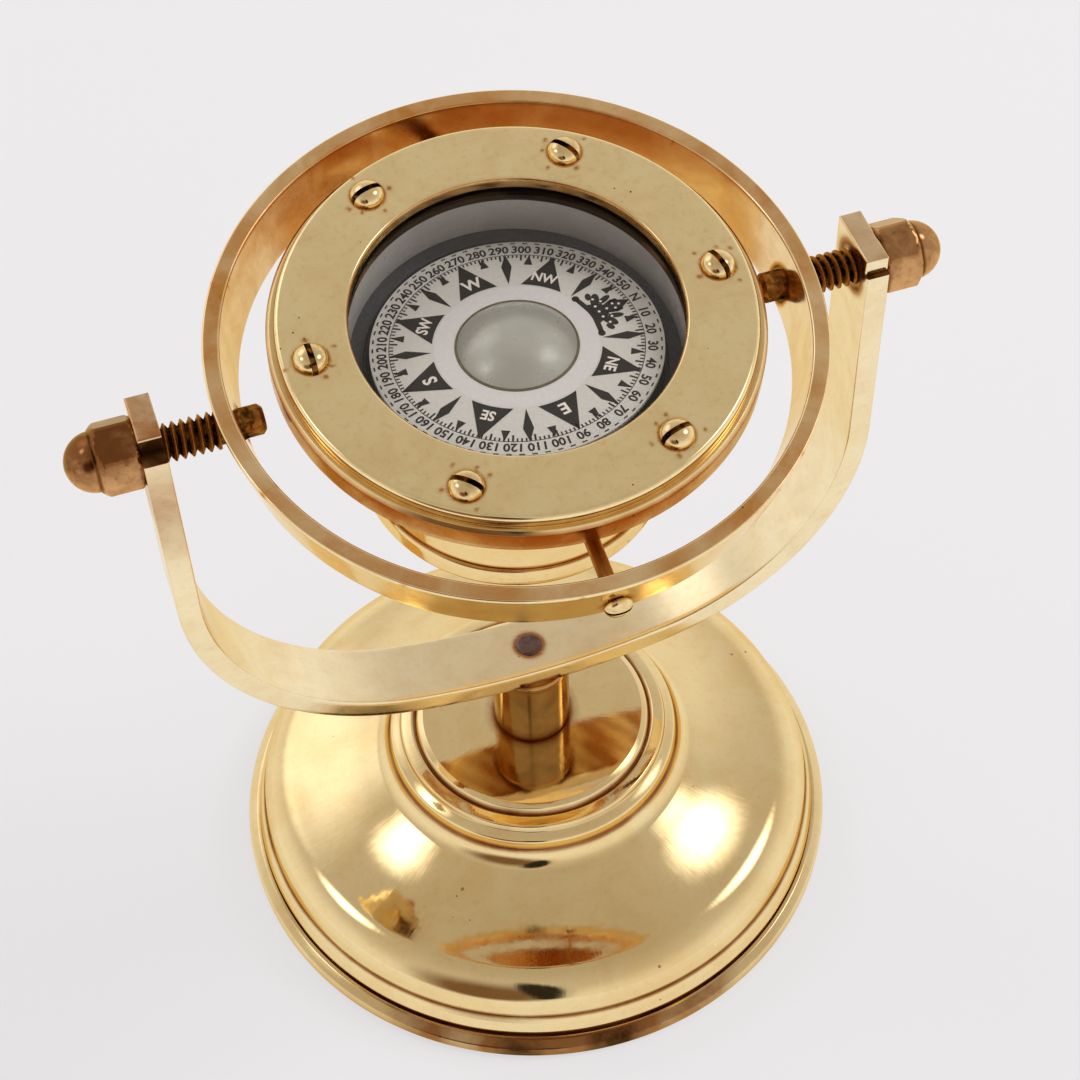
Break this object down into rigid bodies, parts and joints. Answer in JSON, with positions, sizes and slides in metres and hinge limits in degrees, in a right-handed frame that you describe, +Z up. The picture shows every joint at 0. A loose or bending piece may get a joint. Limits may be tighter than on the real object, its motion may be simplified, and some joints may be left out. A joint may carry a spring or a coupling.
{
  "type": "gimbal compass",
  "caption": "Brass marine compass whose liquid filled bowl hangs in a gimbal ring, carried by a bent yoke on a short stem and a round weighted base.",
  "frame": {"origin": "centre of the base's underside, on the surface the compass stands on", "axes": "+Z up, X along the ring's trunnion axis from the left arm to the right arm, -Y towards the front"},
  "size_m": [0.1472, 0.116, 0.1479],
  "materials": {
    "brass_base": "polished",
    "brass_strap": "polished, slightly brushed",
    "brass_ring": "polished, spotted with age",
    "brass_bowl": "polished",
    "brass_bezel": "polished",
    "bronze": "aged, pinkish",
    "dark_brass": "dark with old polish",
    "steel": "plain",
    "dark_steel": "browned",
    "iron": "as cast",
    "lead": "dull grey lead",
    "felt": "green felt",
    "glass": "clear",
    "rubber": "matte",
    "white_enamel": "gloss",
    "grey_enamel": "satin",
    "card": "printed",
    "float": "pearly",
    "jewel": "clear red",
    "magnet": "dark"
  },
  "bodies": {
    "stand": {"base_shell": "brass_base", "base_weight": "iron", "base_plate": "brass_base", "felt_pad": "felt", "stem": "brass_strap", "tie_rod": "dark_steel", "rod_washer": "steel", "rod_nut": "steel", "yoke": "brass_strap", "trunnion_stud_left": "dark_brass", "trunnion_stud_right": "dark_brass", "acorn_nuts": "bronze"},
    "ring": {"gimbal_ring": "brass_ring"},
    "bowl": {"bowl": "brass_bowl", "bezel": "brass_bezel", "bezel_screws": "brass_bezel", "glass": "glass", "glass_gasket": "rubber", "liner": "white_enamel", "card_ring": "grey_enamel", "bottom_gasket": "rubber", "bowl_bottom": "brass_bowl", "diaphragm": "brass_strap", "counterweight": "lead", "filler_plug": "brass_bowl", "pivot_post": "brass_strap", "pivot_pin": "steel", "bowl_pivot_screws": "dark_brass"},
    "card": {"compass_card": "card", "float_dome": "float", "float_floor": "float", "magnets": "magnet", "jewel_cup": "jewel"}
  },
  "joints": [
    {"name": "ring_swing", "type": "hinge", "parent": "stand", "child": "ring", "pos_m": [0, 0, 0.1308], "axis": [1, 0, 0], "continuous": true},
    {"name": "bowl_swing", "type": "hinge", "parent": "ring", "child": "bowl", "pos_m": [0, 0, 0.1308], "axis": [0, 0.9893, 0.1461], "continuous": true},
    {"name": "card_turn", "type": "hinge", "parent": "bowl", "child": "card", "pos_m": [0, -0.00057, 0.13466], "axis": [0, 0, 1], "continuous": true}
  ]
}
